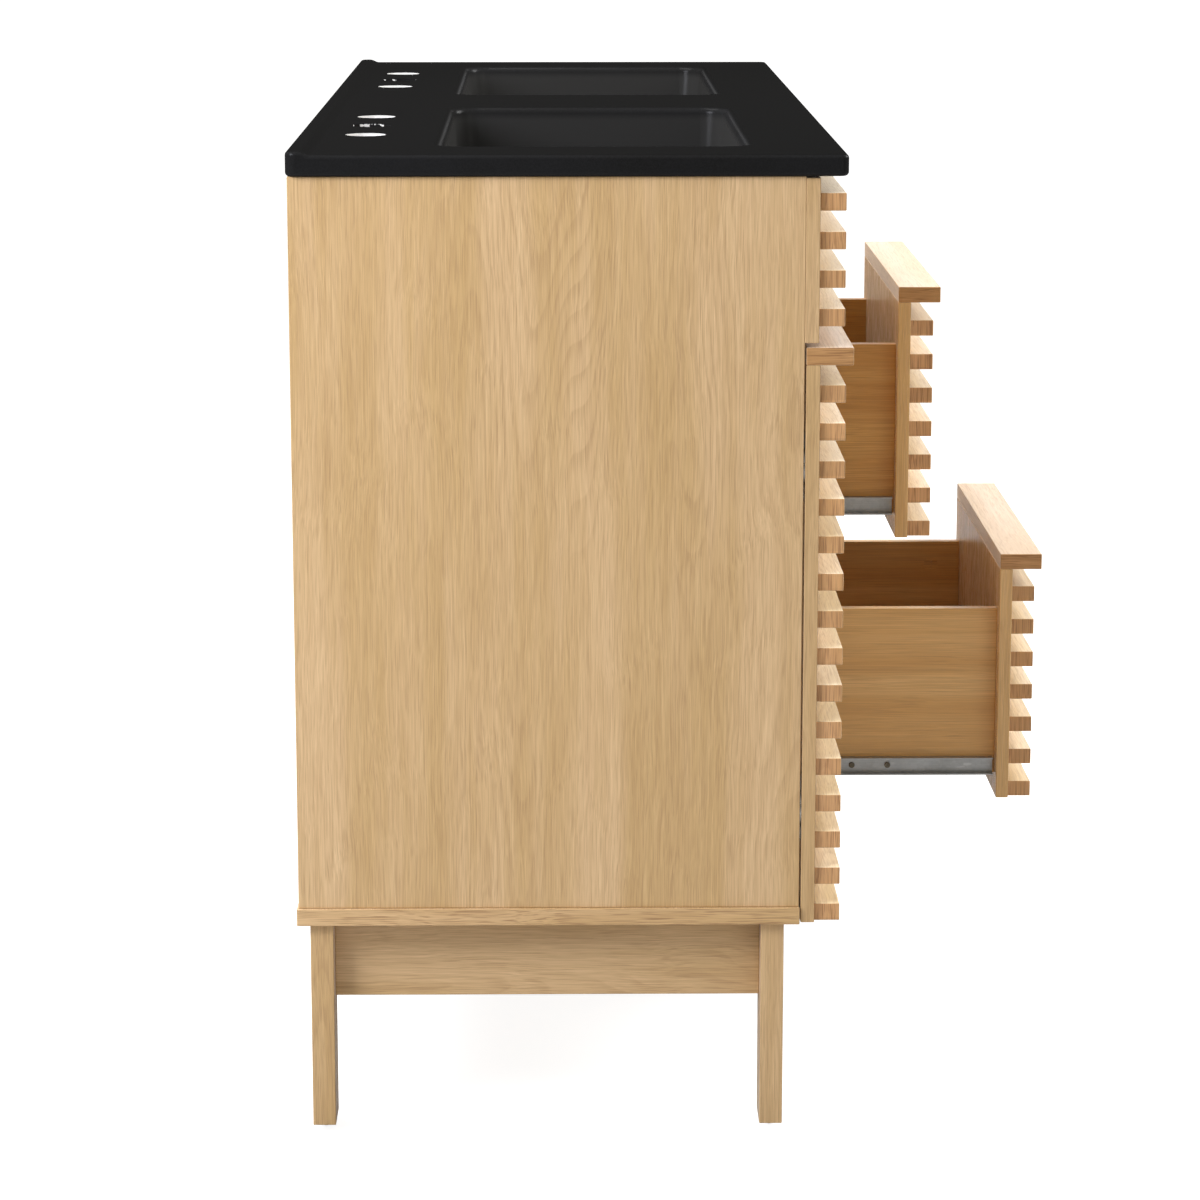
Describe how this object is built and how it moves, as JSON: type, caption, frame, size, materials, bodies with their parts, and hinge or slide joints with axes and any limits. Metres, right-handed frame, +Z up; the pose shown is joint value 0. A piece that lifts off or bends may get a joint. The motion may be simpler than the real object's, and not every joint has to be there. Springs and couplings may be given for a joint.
{
  "type": "bathroom vanity cabinet",
  "caption": "Free-standing oak-look vanity with horizontal slats, black ceramic basin top, slatted hinged doors and ball-bearing drawers on a low leg frame.",
  "frame": {"origin": "on the floor, at the centre of the overall box as it rests, with the drawers standing part open", "axes": "+X to the right as seen from the front, +Y towards the wall, +Z up; the fronts face -Y"},
  "size_m": [1.219, 0.6946, 0.86],
  "materials": {
    "black_ceramic": "glazed satin black",
    "oak_upright": "matte oak laminate, grain upright",
    "oak_crosswise": "matte oak laminate, grain across the width",
    "oak_fore_aft": "matte oak laminate, grain front to back",
    "drawer_oak": "matte foil-wrapped board, grain along the board",
    "drawer_base": "thin matte board",
    "backing_board": "thin matte board",
    "galvanised_steel": "zinc-plated rolled steel",
    "bright_nickel": "nickel-plated pressed steel",
    "screw_steel": "zinc-plated screws",
    "cam_zinc": "die-cast zinc",
    "glide_plastic": "moulded nylon",
    "bumper_felt": "soft clear bumper"
  },
  "bodies": {
    "cabinet": {"bottom_panel": "oak_crosswise", "cabinet_runners": "galvanised_steel", "cam_locks": "cam_zinc", "centre_back_panel": "backing_board", "door_bumpers": "bumper_felt", "false_front_panel": "oak_upright", "false_front_slats": "oak_crosswise", "front_apron": "oak_crosswise", "front_left_leg": "oak_upright", "front_rail": "oak_crosswise", "front_right_leg": "oak_upright", "hardware_screws": "screw_steel", "left_apron": "oak_fore_aft", "left_hinge_arms": "bright_nickel", "left_hinge_links": "bright_nickel", "left_partition": "oak_upright", "left_side_panel": "oak_upright", "leg_brackets": "galvanised_steel", "leg_glides": "glide_plastic", "rear_apron": "oak_crosswise", "rear_bottom_rail": "oak_crosswise", "rear_left_leg": "oak_upright", "rear_right_leg": "oak_upright", "rear_top_rail": "oak_crosswise", "right_apron": "oak_fore_aft", "right_hinge_arms": "bright_nickel", "right_hinge_links": "bright_nickel", "right_partition": "oak_upright", "right_side_panel": "oak_upright", "sink_top": "black_ceramic"},
    "left_door": {"left_door_ledge": "oak_crosswise", "left_door_panel": "oak_upright", "left_door_slats": "oak_crosswise", "left_hinge_cups": "bright_nickel"},
    "right_door": {"right_door_ledge": "oak_crosswise", "right_door_panel": "oak_upright", "right_door_slats": "oak_crosswise", "right_hinge_cups": "bright_nickel"},
    "upper_drawer": {"upper_drawer_back": "drawer_oak", "upper_drawer_bottom": "drawer_base", "upper_drawer_fasteners": "screw_steel", "upper_drawer_front": "oak_upright", "upper_drawer_ledge": "oak_crosswise", "upper_drawer_left_side": "drawer_oak", "upper_drawer_right_side": "drawer_oak", "upper_drawer_runners": "galvanised_steel", "upper_drawer_slats": "oak_crosswise"},
    "lower_drawer": {"lower_drawer_back": "drawer_oak", "lower_drawer_bottom": "drawer_base", "lower_drawer_fasteners": "screw_steel", "lower_drawer_front": "oak_upright", "lower_drawer_ledge": "oak_crosswise", "lower_drawer_left_side": "drawer_oak", "lower_drawer_right_side": "drawer_oak", "lower_drawer_runners": "galvanised_steel", "lower_drawer_slats": "oak_crosswise"},
    "upper_cages": {"upper_ball_cages": "galvanised_steel"},
    "lower_cages": {"lower_ball_cages": "galvanised_steel"}
  },
  "joints": [
    {"name": "left_door_hinge", "type": "hinge", "parent": "cabinet", "child": "left_door", "pos_m": [-0.6045, -0.08875, 0.44], "axis": [0, 0, -1], "range_deg": [0, 105]},
    {"name": "right_door_hinge", "type": "hinge", "parent": "cabinet", "child": "right_door", "pos_m": [0.6045, -0.08875, 0.44], "axis": [0, 0, 1], "range_deg": [0, 105]},
    {"name": "upper_drawer_slide", "type": "slide", "parent": "cabinet", "child": "upper_drawer", "axis": [0, -1, 0], "range_m": [-0.1158, 0.1442]},
    {"name": "upper_cage_slide", "type": "slide", "parent": "cabinet", "child": "upper_cages", "axis": [0, -1, 0], "range_m": [-0.0584, 0.0726]},
    {"name": "lower_drawer_slide", "type": "slide", "parent": "cabinet", "child": "lower_drawer", "axis": [0, -1, 0], "range_m": [-0.2185, 0.0415]},
    {"name": "lower_cage_slide", "type": "slide", "parent": "cabinet", "child": "lower_cages", "axis": [0, -1, 0], "range_m": [-0.10975, 0.02125]}
  ],
  "couplings": [
    {"joint": "upper_cage_slide", "follows": "upper_drawer_slide", "ratio": 0.5},
    {"joint": "lower_cage_slide", "follows": "lower_drawer_slide", "ratio": 0.5}
  ]
}
